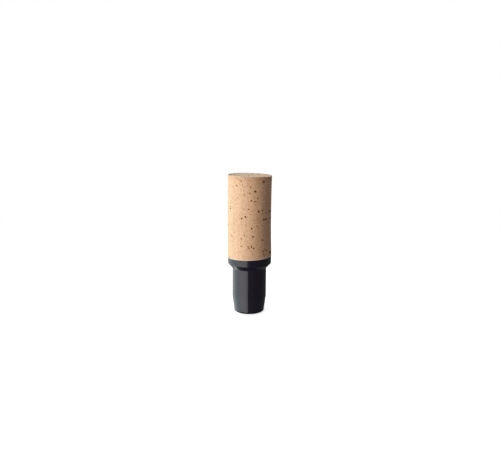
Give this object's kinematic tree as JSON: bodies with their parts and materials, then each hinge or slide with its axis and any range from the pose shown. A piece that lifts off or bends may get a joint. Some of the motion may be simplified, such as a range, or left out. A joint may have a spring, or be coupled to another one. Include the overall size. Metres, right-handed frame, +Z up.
{
  "type": "cork bottle stopper",
  "caption": "Bottle stopper: a plain natural cork cylinder fixed on a moulded black plug with a collar, a sloping shoulder and a tapered stem.",
  "frame": {"origin": "centre of the plug's flat tip, on the surface that it stands on", "axes": "+Z up along the stopper's axis, from the plug to the cork; -Y towards the front; +X to the side where the sawn top is lowest"},
  "size_m": [0.0244, 0.0244, 0.0766],
  "materials": {
    "cork": "bare natural cork, sanded smooth, with open brown pores",
    "moulding": "black, glossy as moulded"
  },
  "bodies": {
    "root": {"cork_head": "cork", "plug": "moulding"}
  },
  "joints": []
}
